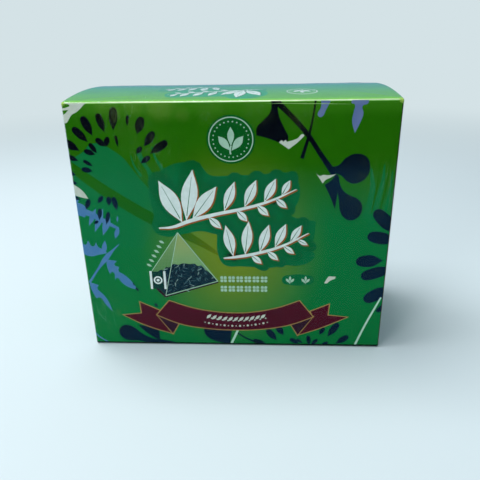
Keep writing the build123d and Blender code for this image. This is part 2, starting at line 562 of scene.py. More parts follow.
def printInk(name, shapes, material, layer, place=ontoFront, trims=(), scores=()):
    # Draws the outlines flat, each with a list of loops or one loop, makes them thin plates and lays them on.
    deselectAll()
    drawn = []
    for shape in shapes:
        curve = bpy.data.curves.new(name, "CURVE")
        curve.dimensions, curve.fill_mode, curve.resolution_u = "2D", "BOTH", 5
        over = (len(drawn) % inkPlanes) * inkStep / (inkPlanes + 1)
        curve.extrude = (layer * inkStep + over + inkSunk) / 2
        for loop in (shape if isinstance(shape[0], list) else [shape]):
            spline = curve.splines.new("BEZIER")
            spline.bezier_points.add(len(loop) - 1)
            spline.use_cyclic_u = True
            for knot, (x, y, *sharp) in zip(spline.bezier_points, loop):
                knot.co = (x * mm, y * mm, 0)
                knot.handle_left_type = knot.handle_right_type = "VECTOR" if sharp else "AUTO"
        drawn.append(bpy.data.objects.new(name, curve))
        drawn[-1].location.z = (layer * inkStep + over - inkSunk) / 2
        bpy.context.collection.objects.link(drawn[-1])
    pick(*drawn)
    bpy.ops.object.convert(target="MESH")
    applyPlace()
    if len(drawn) > 1:
        bpy.ops.object.join()
    piece = bpy.context.object
    outwards(piece)
    edit(piece)
    for axis, end, sign in trims:
        trim([end if i == axis else 0 for i in range(3)], [sign if i == axis else 0 for i in range(3)])
    for axis, places in scores:
        score(axis, places)
    deselectAll()
    for v in piece.data.vertices:
        v.co = place(v.co.x, v.co.y, v.co.z)
    outwards(piece, weld=False)
    finishMesh(piece, name, material, angle=20)
    printed.append(piece)
    return piece


printed = []
sideTrim = right + 2.6 * mm  # the front's print runs on a little way round onto the sides
quarter = [fold * pi / 2 * i / 4 for i in range(5)]
roundSides = [s * (right - fold + q) for s in (-1, 1) for q in quarter]
frontTrims = [(0, sideTrim, 1), (0, -sideTrim, -1),
              (1, foldLevel + 0.4 * fold, 1), (1, base + 0.4 * fold, -1)]
frontScores = [(0, roundSides), (1, [foldLevel + 0.2 * fold, foldLevel, base + fold, base + 0.7 * fold])]


def printFront(name, shapes, material, layer):
    return printInk(name, shapes, material, layer, ontoFront, frontTrims, frontScores)


# Spot inks: dense matt pigments under the film, each with the faint patchiness of an offset plate. A few
# entries are painted light instead: the pale fold line is a painted highlight, the dark fold line is partly
# painted shade, and on the front two greens are painted reflection and painted shade.
inks = {
    # On the front this teal is a painted reflection. On the sides and back it is a print field.
    "tealGreen": printedGreen("inkTealGreen", "00723a", "0a703a", "768a1c", (0, 0, 58), (51, 400, 62)),
    # Painted shade, not an ink.
    "shadeStreakGreen": printedGreen("inkPaintedShadeGreen", "0c600c", "1a6402", "66740c", (0, 0, 56), (36, 400, 50)),
    "halo": ink("inkHaloGreen", "005c24", "045f30", 14, 0.3, "006a3a"),
    "haloDeep": ink("inkHaloDeepGreen", "00500f", "005818", 9, 0.4, "006238"),
    # A painted highlight, not an ink.
    "foldHighlight": ink("inkPaintedFoldHighlight", "a9cc84", "7fae5c", 4, 0.8),
    "navy": ink("inkNavy", "00020e", "020d1e", 7, 0.3, "001c34"),
    "rub": ink("inkRubbedFold", "b0a388", "8c7f66", 3),
    # A dark line on the right fold, and painted shade along the bottom fold.
    "darkFoldAndShade": ink("inkDarkFoldAndShade", "010a06", "031608", 3),
    "blue": ink("inkFernBlue", "4678aa", "5583ac", 5),
    "lavender": ink("inkLavender", "6173a2", "6f7fa0", 5),
    "cream": ink("inkCream", "c6cdc0", "b9c2b2", 2),
    "white": ink("inkPaleWhite", "dde8e4", "c9d8d2", 3),
    "rust": ink("inkRust", "9a5420", "84461a", 3),
    "maroon": ink("inkMaroon", "4c0a20", "420a1e", 6),
    "gold": ink("inkDullGold", "ab864e", "8f6e3e", 1.5, 0.6),
    "stalk": ink("inkStalk", "b6dcc8", "a4ceb8", 3),
    "shade": ink("inkDarkPlum", "2a1226", "36182c", 3),
    "lidHalo": ink("inkLidHalo", "2f9c6c", "2a9468", 8),
    "emblem": ink("inkEmblemGreen", "04561c", "075e24", 6),
    "mint": ink("inkMint", "a6c8b2", "97bda6", 3),
}

# Painted reflection: the teal field upper left, and the teal streaks beside it and near the right edge, stand
# for light that the film reflects, drawn as print.
reflectionField = [(-80, 102.6, 1), (-74, 105.6), (-70, 108), (-66.8, 111.2), (-64.2, 111.8), (-60.6, 111.1),
         (-55.6, 108.2), (-51.5, 104.9), (-48.2, 100.4), (-45.6, 96.4), (-42.6, 92.4), (-39.6, 88.2),
         (-38, 80), (-40, 70), (-46, 58, 1), (-80, 58, 1)]
reflectionStreaks = [stroke([(-43.6, 107), (-42, 102.6), (-39, 97.4), (-37.2, 89.6), (-36.8, 82)],
                  [2.4, 2, 1.9, 2.4, 3.4]),
           stroke([(-37.2, 110), (-35.6, 104), (-33.2, 99.4), (-32.4, 93)], [0.6, 1.2, 1.7, 1.9]),
           stroke([(-40.4, 98), (-38.2, 92.2), (-35, 88)], [0.5, 0.9, 1.2]),
           stroke([(-47.6, 106), (-46.4, 101), (-43.4, 95.6)], [0.4, 0.9, 1.4]),
           stroke([(65.6, 99), (67, 89), (65.4, 74)], [0.8, 2.6, 4.4]),
           stroke([(71.6, 101), (71.4, 92), (68.8, 78), (67.6, 70)], [0.6, 1.8, 2.6, 3.4]),
           stroke([(75.6, 98), (75.2, 88), (73.4, 74)], [0.5, 1.2, 2])]
printFront("printField", [reflectionField] + reflectionStreaks, inks["tealGreen"], 1)
# Painted shade: a dark band slanting across the print, and dark streaks between the painted reflections near
# the right edge.
shadeStreaks = [stroke([(-79, 102), (-66, 91.4), (-52, 81.4), (-38, 72.8), (-22, 64.4), (-7, 54.6)],
                [4.4, 5.4, 6, 6, 4.4, 1.6]),
         stroke([(69.3, 102), (69.1, 91), (67.4, 77)], [0.4, 1.1, 0.5]),
         stroke([(73.8, 105), (73.4, 93), (71.6, 79)], [0.4, 1.2, 0.6])]
printFront("printBand", shadeStreaks, inks["shadeStreakGreen"], 2)

# The navy garden: a fan of leaves upper left, stems and seed heads on the right, a thicket along the bottom
navyLeaves = [
    (-64.7, 115.3, -68.6, 124.3, 4.1), (-67.2, 112.3, -73.8, 119.2, 3.7), (-71.8, 108.2, -79.5, 113.4, 3.9),
    (-58.8, 116.8, -61.2, 125.6, 3.5), (-54.6, 117.6, -53.4, 128.4, 4.1), (-47.8, 119.4, -47.2, 124.6, 1.5),
    (-43.6, 115.8, -40.6, 123.8, 4.3), (-40.8, 110, -35.6, 117, 3.7), (-38.4, 106.6, -29.6, 112.4, 3.8),
    (-44.8, 106.6, -42, 110, 2.5), (-43.2, 102, -38.4, 105.4, 2.6), (-59.2, 110.2, -63.4, 114, 3),
    (-59, 110, -57.6, 114.8, 2.8), (-53.2, 109.8, -53.8, 115.4, 1.4), (-64.4, 106.4, -69.8, 108.4, 2.7),
    (-63.6, 107, -66.8, 111.8, 2.5), (-66.4, 100.8, -70.8, 103.6, 1.9), (-66.8, 98.4, -72.2, 99.4, 2.7),
    (-73, 103.4, -79, 106, 2.5), (-75.4, 96.6, -79, 97.6, 2.2), (-75, 92, -79, 93.4, 1.8),
    (-74.6, 84.2, -79, 85.4, 1.8), (-53.4, 38.2, -52.6, 36.6, 0.9), (-52.2, 35.6, -50.8, 33.2, 1.3),
    (-42.9, 26.2, -41.4, 23.8, 1.6), (22.6, 3.4, 17.2, 10.4, 3.7), (26.2, 6.8, 22.6, 12.6, 3.5),
    (17, 1.1, 9.6, 3.4, 2.9), (34.6, 1.6, 29.6, 4.6, 2.6), (36.6, 1.8, 33.4, 4.4, 1.6),
    (40.2, 0.6, 39.4, 6.8, 2.4), (41.2, 1, 44.6, 4.4, 2.2), (45.4, 7.4, 47.8, 11.8, 2.6),
    (49.8, 6.2, 55.2, 14.8, 3.9), (54.4, 1.8, 61, 6.8, 3.6), (46.6, 0.8, 50.4, 2.8, 2),
    (81, 66, 69, 78.4, 6.6),
]
edgeLeaves = [(81, 62.2, 66.5, 65.2, 6.5), (75.4, 51.7, 61.8, 51, 6.7), (81, 47.6, 65, 42.3, 6.3),
              (81, 36.6, 67.5, 28.5, 7), (80, 27, 74.6, 22, 2.9)]
bell = [(18.6, 131.4, 1), (18.4, 125.6), (15, 121.6), (12.1, 118.4), (12, 114.9, 1), (17.6, 113.4),
        (24, 110.8, 1), (26.6, 112.8), (24.8, 118), (22.6, 122.6), (21.6, 127, 1), (22.4, 131.4, 1)]
navyShapes = [leaf(*l, belly=0.54) for l in navyLeaves]
navyShapes += [leaf(*l, belly=0.5) for l in edgeLeaves]
navyShapes += [
    [(46.4, 97.6, 1), (47.6, 99.8), (50.2, 100.6), (54.2, 104.7), (59, 106.1), (63.2, 104.4), (65, 99.9),
     (64, 95.2), (61, 92.5), (57.4, 91.8), (54.4, 93.2), (52, 95.6), (49.6, 96.6)],
    [(48.4, 96.6, 1), (50.2, 96), (51.5, 91.7), (53.6, 88), (56.6, 86), (60.4, 84.2), (62.7, 81),
     (62.7, 77.4), (60.6, 74.2), (57.4, 73.2), (54.2, 74.8), (52.2, 78.4), (51.4, 83.6), (50.3, 88.8)],
    [(44.2, 91.2, 1), (47.2, 93.4), (49.3, 96.2, 1), (50.3, 92), (50.6, 87.6), (49.8, 78.9, 1), (46.9, 86)],
    bell,
    stroke([(20.2, 131), (23.8, 127.4), (30.5, 120.8), (36, 114.4), (42, 105.6), (48.6, 96.4)],
           [3, 2.6, 2.4, 2.3, 2.3, 3]),
    stroke([(38.6, 131), (37.6, 122.6), (35.9, 114), (33.2, 104)], [0.9, 0.9, 1.3, 1.8]),
    [(-64, 7.4), (-62.6, 11), (-59, 12.3), (-55.2, 10.6), (-51.4, 7), (-46.6, 4.2), (-41.6, 2.6, 1),
     (-41.6, -1, 1), (-48, 0.9), (-53.6, 2.2), (-58, 2.2), (-62, 3.6)],
    [(-53.2, 12.4, 1), (-50, 8.8), (-45.6, 4.8), (-41.6, 2.2, 1), (-41.6, 9.6, 1), (-47, 11.4, 1)],
    stroke([(-42, 1.8), (-36, 1.3), (-29.6, 0)], [3, 2, 0.6]),
    stroke([(1, 8), (6, 4.6), (12, 1.8)], [0.9, 0.9, 1.2]),
    [(-17, 12, 1), (-16.4, 6.8), (-12, 3), (-3, 1, 1), (-1.4, 12, 1)],
]
printFront("printNavy", navyShapes, inks["navy"], 3)

fernLeaves = [(-67.8, 79.4, -72.6, 70, 2.6), (-64.2, 79.4, -70, 66.6, 3.3), (-61.2, 76.8, -66, 64.9, 3.6),
              (-57.4, 69.8, -60, 63, 2.4), (-57.3, 75.6, -57.8, 72, 0.9), (-66.8, 54.6, -65.3, 62.4, 2.6),
              (-77.4, 82, -76.6, 86, 2.4), (-72.4, 80, -70.4, 83, 1.6)]
fernShapes = [leaf(*l, belly=0.45, sharpTip=True) for l in fernLeaves] + [
    [(-80, 84, 1), (-76.1, 82.4), (-73.6, 81), (-72.4, 78.6), (-74, 74.6, 1), (-77, 75.6), (-80, 74.6, 1)],
    stroke([(-77.4, 79), (-70.2, 76.2), (-64.3, 72.6), (-57.4, 68.6)], [3.4, 3, 2.4, 1.2]),
    [(-80, 63, 1), (-77.2, 62.8, 1), (-76, 59.8), (-74.1, 62.2, 1), (-72, 58.9), (-70.1, 61.3, 1),
     (-69.3, 58.7), (-66.6, 57), (-65, 55.2, 1), (-66.6, 54.8), (-69.6, 54.2), (-73.4, 53.3), (-76.6, 54.2),
     (-80, 56, 1)],
    [(-65.9, 51.6, 1), (-60.4, 50.7, 1), (-62, 48.5), (-59.6, 47.3, 1), (-60.2, 45), (-57.7, 43), (-54.7, 40),
     (-51, 34, 1), (-55.6, 35.4), (-59.2, 38.2), (-61.4, 41), (-62.6, 39.6, 1), (-63.4, 44.4), (-65, 43.2, 1),
     (-66, 47.4)],
    [(-76.6, 38.4, 1), (-71.6, 36.5, 1), (-72.8, 34.9), (-70, 31), (-67.8, 27), (-66.2, 20.8, 1),
     (-69.4, 24.8), (-72.2, 29.2), (-74, 28.5, 1), (-76, 33.8)],
    stroke([(-58.2, 60.2), (-61.8, 56.8), (-65.4, 53), (-70.6, 46.4), (-76.6, 38)],
           [0.4, 1.1, 2.6, 1.2, 1.3]),
    stroke([(-80, 10.6), (-75.6, 4.6), (-70.4, 0.8)], [1.2, 0.8, 0.6]),
]
printFront("printFern", fernShapes, inks["blue"], 2)
shadowLeaves = [(-72.9, 78.8, -70.4, 84.2, 2.6), (-66.5, 82, -63.6, 85.8, 2.3), (-61, 80.6, -60.6, 85.6, 2.6),
                (-57.2, 78.2, -58.4, 85.4, 2.8), (-66.8, 73.2, -65.7, 79.4, 2.3),
                (-63.5, 70.8, -61.6, 77.6, 2.1), (-70, 71.2, -67.4, 72.8, 1.6)]
printFront("printFernShadow", [leaf(*l) for l in shadowLeaves], inks["navy"], 4)

printFront("printLavender", [
    [(40.8, 131, 1), (41, 127.4), (39.7, 123.8), (41.2, 122.9), (43.4, 126.4), (45.6, 131, 1)],
    [(55.2, 131, 1), (54.4, 129), (55.8, 128.4), (55.6, 124.8), (55.2, 121), (56.8, 115.6, 1), (59, 120.6),
     (60, 124.4), (59.4, 127.6), (61.8, 128.8), (62, 131, 1)]], inks["lavender"], 2)
printFront("printPetals", [
    [(22.4, 111.6, 1), (23.6, 112.7, 1), (24.4, 111.8, 1), (25.4, 112.8, 1), (26.2, 111.8, 1), (30.9, 113.4),
     (33.2, 115.3), (34, 114.6, 1), (31.4, 111.9), (27, 108.4, 1)],
    [(40.2, 96.7, 1), (41, 96), (42, 95.6), (43.6, 96.1), (45.4, 95.9), (49.4, 96.4, 1), (46.6, 94.6),
     (44.6, 93.6), (43.4, 91.9, 1)],
    [(-63.6, 131, 1), (-66.6, 129.7), (-68.6, 127.9), (-70.8, 126.2), (-73.2, 125), (-74.9, 122.9),
     (-76.1, 121.4), (-80, 121.2, 1), (-80, 124.4, 1), (-76.8, 125.2), (-74.4, 127.2, 1), (-80, 126.8, 1),
     (-80, 127.8, 1), (-74.6, 128.5), (-73.6, 129.2), (-75.4, 130.2), (-76, 131, 1)],
    [(-80, 93.4, 1), (-75.6, 90.6), (-73, 88.2), (-70.9, 84.5, 1), (-74.4, 85.2), (-80, 87.6, 1)],
    [(46.6, 38.6, 1), (47.6, 40.8), (48.7, 42.6, 1), (52.2, 42.5, 1), (52, 41.3, 1), (49.6, 40.2),
     (48, 38.6, 1)]],
    inks["cream"], 5)
printFront("printStalks", [stroke([(76.2, 30.6), (72.6, 22), (69, 13), (64.4, 0)], [0.8, 1, 1, 1.2]),
                           stroke([(1.6, 10), (-2.6, 0)], [1.2, 1.3])], inks["stalk"], 5)
printFront("printFoldRub", [stroke([(77.7, 129), (77.6, 60), (77.6, 1)], [0.9, 0.6, 0.5])], inks["rub"], 6)
# Painted highlight: a thin pale line under the top fold stands for light on a ridge of the film.
printFront("printFoldPale", [stroke([(16, 129.2), (32, 129), (54, 128.5)], [0.05, 0.3, 0.04])],
           inks["foldHighlight"], 6)
# A dark line along the right fold. Along the bottom fold, painted shade where the carton meets the floor.
printFront("printFoldDark", [stroke([(77.1, 128.6), (77, 60), (77.1, 1)], [0.34, 0.3, 0.3]),
                             stroke([(-77.4, 0.75), (0, 0.75), (77.4, 0.8)], [1.2, 1.35, 1.5])],
           inks["darkFoldAndShade"], 7)
print("garden printed")

# The main ornament: two tea sprigs in pale ink with a rust edge, on a deep green halo
sprigs = {
    "upperStem": ([(-37, 69), (-30, 69.6), (-22, 72.6), (-8, 76.4), (6, 79.4), (18, 83), (31, 89)],
                  [0.6, 1.4, 1.9, 1.7, 1.5, 1.2, 0.4]),
    "upperLeaves": [(-25, 72, -35.4, 93.6, 8.6), (-23, 73, -18.6, 99, 8), (-20, 73.6, -7.4, 90.6, 7),
                    (-4, 78, 1.4, 93, 4.9), (6, 80, 11.8, 93.8, 5), (15.6, 82.6, 21.2, 94.4, 4.6),
                    (24, 86, 28, 93.6, 3.4), (-12, 75, -5.6, 68.8, 3.8), (2, 78.4, 7.4, 72.6, 3.6),
                    (12, 81, 17.8, 75.6, 3.6), (21, 84.4, 26.6, 79.6, 3.2)],
    "lowerStem": ([(-5, 52.6), (2, 53.4), (12, 55.4), (24, 59.2), (37.6, 66.4)], [0.6, 1.5, 1.5, 1.3, 0.4]),
    "lowerLeaves": [(0, 53.6, -3.6, 70.6, 5.6), (6, 54.6, 8, 72.8, 5.4), (13.4, 56, 18, 71, 5),
                    (21, 58.6, 26.4, 71.4, 4.6), (28.6, 61.6, 34, 70.6, 3.8), (9, 54.4, 14.4, 49.6, 3.2),
                    (17, 56.6, 22.8, 51.6, 3.2), (25, 59.6, 30.8, 55.2, 3), (32, 63, 37.4, 60, 2.4)],
    "edge": 0.5, "spread": 0.12, "vein": 0.42,
}
haloShapes = [
    [(-40.6, 84), (-38.6, 94), (-32, 99.6), (-24, 102.4), (-15, 101.2), (-10.6, 96.4), (-3, 95.8), (4, 96.2),
     (12, 96), (20, 97), (28.4, 96.4), (32.2, 91.6), (30.6, 80), (24, 75.6), (10, 71.6), (-6, 65.6),
     (-16, 67.4), (-24, 66), (-35, 64.6), (-40.4, 69), (-39, 76)],
    [(-8, 64), (-7, 71.4), (-1, 75.2), (10, 76.6), (23, 77.4), (34, 73.6), (41, 72.8, 1), (40.4, 64),
     (39.2, 57.4), (41.2, 54.6), (39, 51), (33, 48.6), (25, 48.8), (20, 47.4), (13, 47.6), (4, 48),
     (-4.6, 48.8), (-7.6, 54)],
]
printFront("printHalo", haloShapes, inks["halo"], 3)
sprigShapes = [stroke(*sprigs["upperStem"]), stroke(*sprigs["lowerStem"])]
sprigShapes += [leaf(*l, belly=0.52, sharpTip=True) for l in sprigs["upperLeaves"] + sprigs["lowerLeaves"]]
deepShapes = [stroke(sprigs[stem][0], [4.6] * len(sprigs[stem][0])) for stem in ("upperStem", "lowerStem")]
deepShapes += [grown(leaf(*l, belly=0.52), 2.1) for l in sprigs["upperLeaves"] + sprigs["lowerLeaves"]]
printFront("printHaloDeep", deepShapes, inks["haloDeep"], 4)
edgeShapes = [moved(grown(s, sprigs["spread"]), sprigs["edge"], -sprigs["edge"]) for s in sprigShapes]
printFront("printSprigEdge", edgeShapes, inks["rust"], 5)
printFront("printSprigs", sprigShapes, inks["white"], 6)


def midrib(x0, y0, x1, y1, width):
    # A fine vein down the middle of a leaf, from near its root to near its tip.
    ends = [(x0 + (x1 - x0) * part, y0 + (y1 - y0) * part) for part in (0.1, 0.86)]
    return stroke(ends, [width, width * 0.35])


veins = [midrib(*l[:4], sprigs["vein"]) for l in sprigs["upperLeaves"] + sprigs["lowerLeaves"]]
printFront("printSprigVeins", veins, inks["halo"], 7)

# The round emblem holds a plain sprout in a ring of beads
emblem = {"x": 0.1, "y": 113.05, "radius": 10.45, "line": 0.5, "beads": 26, "beadRing": 8.3, "bead": 0.34}


def sproutShapes(x, y, size):
    # Two leaves at the sides, one upright, and a short stem.
    sides = [leaf(x + 0.02 * s * size, y - 0.5 * size, x + 0.56 * s * size, y + 0.16 * size, 0.34 * size,
                  sharpTip=True) for s in (-1, 1)]
    upright = leaf(x, y - 0.3 * size, x, y + 0.56 * size, 0.3 * size, sharpTip=True)
    stem = [(x, y - 0.28 * size), (x - 0.04 * size, y - 0.5 * size), (x - 0.02 * size, y - 0.66 * size)]
    return sides + [upright, stroke(stem, [0.07 * size] * 3)]


def emblemShapes(x, y, radius, line):
    ring = [disc(x, y, radius, 16), disc(x, y, radius - line, 16)]
    beadRing, bead = [emblem[size] / emblem["radius"] * radius for size in ("beadRing", "bead")]
    turns = [2 * pi * i / emblem["beads"] for i in range(emblem["beads"])]
    beads = [disc(x + beadRing * cos(a), y + beadRing * sin(a), bead, 4) for a in turns]
    return [ring] + beads + sproutShapes(x, y, radius)


printFront("printEmblem", [disc(emblem["x"], emblem["y"], emblem["radius"] + 0.9, 16)], inks["emblem"], 3)
printFront("printEmblemLines", emblemShapes(emblem["x"], emblem["y"], emblem["radius"], emblem["line"]),
           inks["mint"], 5)

# Rows of small blossoms, a pill with two sprouts, and a slanting row of leaves beside the bag
rows = {"first": (-5.4, 40.6), "second": (-5.4, 35), "pitch": 4.2, "count": 6, "size": 2.1,
        "slant": (-43.6, 48.4), "slantStep": (1.5, 2.6)}


def blossom(x, y, size):
    # Four petals in a cross.
    ways = [(size * cos(pi / 4 + pi / 2 * i), size * sin(pi / 4 + pi / 2 * i)) for i in range(4)]
    return [leaf(x + 0.12 * a, y + 0.12 * b, x + a, y + b, 0.8 * size) for a, b in ways]


rowShapes = []
for x, y in (rows["first"], rows["second"]):
    for i in range(rows["count"]):
        rowShapes += blossom(x + i * rows["pitch"], y, rows["size"])
for i in range(rows["count"]):
    x, y = [start + i * step for start, step in zip(rows["slant"], rows["slantStep"])]
    rowShapes.append(leaf(x + 1.2, y - 0.7, x - 1.5, y + 0.8, 1.3, 0.55, True))
printFront("printPill", [pillShape(33, 40.4, 16.4, 5.4)], inks["halo"], 3)
rowShapes += sproutShapes(29, 40.6, 3.8) + sproutShapes(37, 40.6, 3.8)
printFront("printRows", rowShapes, inks["mint"], 4)
print("ornament printed")

# The tea bag: a pyramid of fine mesh with leaf tea in it and a tag on its thread
bag = {"apex": (-27.8, 66.6), "right": (-8.4, 39.4), "foot": (-36.4, 30.6), "left": (-42.6, 45.2),
       "line": 0.34}


def bagMesh(name, nearTea, nearTop):
    # Woven nylon mesh, printed: a fine criss-cross, paler towards the gathered top. Its threads are drawn
    # 0.8 mm apart, coarser than real ones, so that they show.
    material, tree = startMaterial(name)
    places = addNode(tree, "TexCoord").outputs["Object"]
    apart = addNode(tree, "SeparateXYZ", {0: places})
    climb = addNode(tree, "MapRange", {0: apart.outputs["Z"], 1: 42 * mm, 2: 66 * mm},
                    interpolation_type="SMOOTHSTEP")
    body = addNode(tree, "Mix", {0: climb, 6: linear(nearTea), 7: linear(nearTop)}, data_type="RGBA")
    threads = []
    for axis in ("X", "Z"):
        turns = addNode(tree, "Math", {0: apart.outputs[axis], 1: 2 * pi / (0.8 * mm)}, operation="MULTIPLY")
        wave = addNode(tree, "Math", {0: turns}, operation="SINE")
        threads.append(addNode(tree, "MapRange", {0: wave, 1: 0.2, 2: 1.0}, interpolation_type="SMOOTHSTEP"))
    weave = addNode(tree, "Math", {0: threads[0], 1: threads[1]}, operation="MAXIMUM")
    share = addNode(tree, "Math", {0: weave, 1: 0.16}, operation="MULTIPLY")
    mixed = addNode(tree, "Mix", {0: share, 6: body.outputs[2], 7: linear("c4d8b0")}, data_type="RGBA")
    coatedSurface(tree, mixed.outputs[2], places)
    return material


def corners(*names):
    return [bag[n] + (1,) for n in names]


tea = [(-41.4, 41.6, 1), (-38, 45.8), (-36.4, 45.6), (-35, 47.4), (-33.6, 47.2), (-31, 49.2), (-28.6, 48.8),
       (-26, 49.6), (-22.6, 49.2), (-20, 49.4), (-18.6, 48.2), (-16.6, 48.2), (-14.8, 46.2), (-13, 44.8),
       (-8.8, 39.6, 1), (-36.4, 31, 1), (-41, 36.6, 1)]
printFront("printBag", [corners("apex", "right", "foot")], bagMesh("inkBagMesh", "639c66", "8d9f5c"), 4)
printFront("printBagSide", [corners("apex", "foot", "left")],
           bagMesh("inkBagMeshSide", "3f7c40", "6c9256"), 5)
printFront("printTea", [tea], ink("inkLeafTea", "0a202e", "12303c", 1.6, 0.9), 6)
leafTea = {"seed": 11, "flakes": 60, "dark": 42}
rng = random.Random(leafTea["seed"])
flakes = []
while len(flakes) < leafTea["flakes"]:
    x, y = rng.uniform(-40, -11), rng.uniform(33, 48)
    turn, length = rng.gauss(0.9, 0.9), rng.uniform(1.2, 3.4)
    # Only flakes under the heap's top and inside the bag's two lower edges are kept.
    if y < 49 - 0.03 * (x + 26) ** 2 and y > 31.5 + 0.31 * (x + 36) and x > -40 + 0.3 * (45 - y):
        flakes.append(leaf(x, y, x + length * cos(turn), y + length * sin(turn), rng.uniform(0.3, 0.6)))
printFront("printTeaFlakes", flakes[:leafTea["dark"]], ink("inkTeaFlake", "4a6a70", "28505c", 1.0, 0.9), 7)
printFront("printTeaGlints", flakes[leafTea["dark"]:], ink("inkTeaGlint", "7d9a94", "5c7c78", 1.0, 0.6), 8)
bagLines = [stroke([bag[a], bag[b]], [bag["line"], bag["line"]]) for a, b in
            (("apex", "right"), ("apex", "foot"), ("foot", "right"), ("apex", "left"))]
printFront("printBagLines", bagLines, inks["mint"], 9)
printFront("printBagFoot", [[(-43.4, 36.8, 1), (-36.8, 29.4, 1), (-8.2, 38.4, 1), (-8.2, 39.4, 1),
                             (-36.4, 30.8, 1), (-42.4, 38, 1)]], inks["shade"], 3)
tag = [(-43, 44.8, 1), (-36.4, 44.8, 1), (-36.4, 34.8, 1), (-43, 34.8, 1)]
printFront("printTag", [tag], ink("inkTagTeal", "05322c", "083c34", 3), 9)
printFront("printTagLines", [stroke([(-43.4, 45), (-43.4, 34.6)], [1.2, 1.2]),
                             stroke([(-36.2, 45), (-36.2, 34.6)], [1.2, 1.2]),
                             [disc(-39.8, 39.8, 2.3), disc(-39.8, 39.8, 1.5)], disc(-39.8, 39.8, 0.8)],
           inks["white"], 10)

# The ribbon: a sagging band with folded ends and swallow tails, edged in dull gold
ribbon = {"edge": 0.5, "leaves": 5, "leafPitch": 2.9, "leafLevel": 16.6, "beads": 8, "beadPitch": 2.1,
          "beadLevel": 12.4, "shift": 0.6, "sag": 0.008}
band = [(-34.8, 27.4, 1), (-22, 23), (-8, 20.6), (0, 20.2), (8, 20.6), (22, 23.4), (34.2, 28, 1),
        (41.4, 18.6, 1), (30, 13.8), (16, 10.9), (0, 10), (-16, 10.9), (-30, 13.6), (-42, 18.8, 1)]
leftTail = [(-40.4, 21.4, 1), (-50.6, 26.4, 1), (-50.2, 19.6, 1), (-60.2, 18.5, 1), (-48, 12),
            (-34.2, 7.2, 1), (-42, 18.6, 1)]
rightTail = [(40.2, 21.8, 1), (49.7, 26.1, 1), (49.2, 19.5, 1), (59.4, 18.5, 1), (46.6, 12.2), (34.2, 7.2, 1),
             (41.8, 18.6, 1)]
leftFold = [(-42, 18.6, 1), (-34.2, 7.2, 1), (-30.4, 13.8, 1), (-36, 15.8)]
rightFold = [(-x - 0.4, y, *sharp) for x, y, *sharp in leftFold]
printFront("printRibbonTailEdge", [grown(leftTail, ribbon["edge"]), grown(rightTail, ribbon["edge"])],
           inks["gold"], 4)
printFront("printRibbonTails", [leftTail, rightTail], inks["maroon"], 5)
printFront("printRibbonFoldEdge", [grown(leftFold, ribbon["edge"]), grown(rightFold, ribbon["edge"])],
           inks["gold"], 6)
printFront("printRibbonFolds", [leftFold, rightFold], inks["shade"], 7)
printFront("printRibbonBandEdge", [grown(band, ribbon["edge"])], inks["gold"], 8)
printFront("printRibbonBand", [band], inks["maroon"], 9)
garland = []
for i in range(-ribbon["leaves"], ribbon["leaves"] + 1):
    x = i * ribbon["leafPitch"] + ribbon["shift"]
    y = ribbon["leafLevel"] + ribbon["sag"] * x * x
    garland.append(leaf(x - 1.4, y - 1.3, x + 1.3, y + 1.4, 1.6, 0.5, True))
    garland.append(disc(x + 1.4, y - 1.1, 0.42, 4))
for i in range(-ribbon["beads"], ribbon["beads"] + 1):
    x = i * ribbon["beadPitch"] + ribbon["shift"]
    garland.append(disc(x, ribbon["beadLevel"] + ribbon["sag"] * x * x, 0.62 if i % 2 else 0.36, 4))
printFront("printRibbonGarland", garland, inks["cream"], 10)
print("ribbon and tea bag printed")


def placed(shape, fromX, fromY, toX, toY, scale):
    return [(toX + scale * (x - fromX), toY + scale * (y - fromY), *sharp) for x, y, *sharp in shape]


# The lid carries the ornament and the emblem again, smaller and the other way up, towards its front
lidPrint = {"from": (0, 74), "to": (-10, -13), "scale": -0.67, "emblem": (33.6, -17.2), "radius": 7.4}
archPlaces = [archMiddle + archRadius * sin(foldSlope * (2 * i / board["archSteps"] - 1))
              for i in range(board["archSteps"] + 1)]
lidScores = [(1, archPlaces), (0, [x * 6 * mm for x in range(-12, 13)])]


def onLid(shapes):
    return [placed(s, *lidPrint["from"], *lidPrint["to"], lidPrint["scale"]) for s in shapes]


def printLid(name, shapes, material, layer):
    printInk(name, shapes, material, layer, ontoLid, (), lidScores)


printLid("lidHalo", onLid(haloShapes), inks["lidHalo"], 1)
lidEdges = [moved(grown(s, sprigs["spread"]), -sprigs["edge"], sprigs["edge"]) for s in sprigShapes]
printLid("lidSprigEdge", onLid(lidEdges), inks["emblem"], 2)
printLid("lidSprigs", onLid(sprigShapes), inks["white"], 3)
printLid("lidSprigVeins", onLid(veins), inks["lidHalo"], 4)
printLid("lidEmblem", emblemShapes(*lidPrint["emblem"], -lidPrint["radius"], -0.5), inks["white"], 2)
print("lid printed")

# The side panels: an emblem, a pale panel left blank but for fine rules, and a garden at the foot
sidePrint = {"panel": (0, 66, 46, 50), "corner": 3, "rules": 9, "pitch": 5, "line": 0.35,
             "emblem": (0, 110, 8.5)}


def roundedRectangle(x, y, width, height, corner):
    shape = []
    for sx, sy in ((1, 1), (1, -1), (-1, -1), (-1, 1)):
        outer = [(x + sx * width / 2, y + sy * (height / 2 - corner), 1),
                 (x + sx * (width / 2 - 0.3 * corner), y + sy * (height / 2 - 0.3 * corner)),
                 (x + sx * (width / 2 - corner), y + sy * height / 2, 1)]
        shape += outer if sx * sy < 0 else outer[::-1]
    return shape


def fan(x, y, near, far, first, last, count, width):
    # Leaves that spread from one place like a seed head.
    leaves = []
    for i in range(count):
        angle = radians(first + (last - first) * i / (count - 1))
        reach = far * (1 + 0.1 * sin(i * 2.4))
        leaves.append(leaf(x + near * cos(angle), y + near * sin(angle), x + reach * cos(angle),
                           y + reach * sin(angle), width * (1 + 0.15 * sin(i * 1.7))))
    return leaves


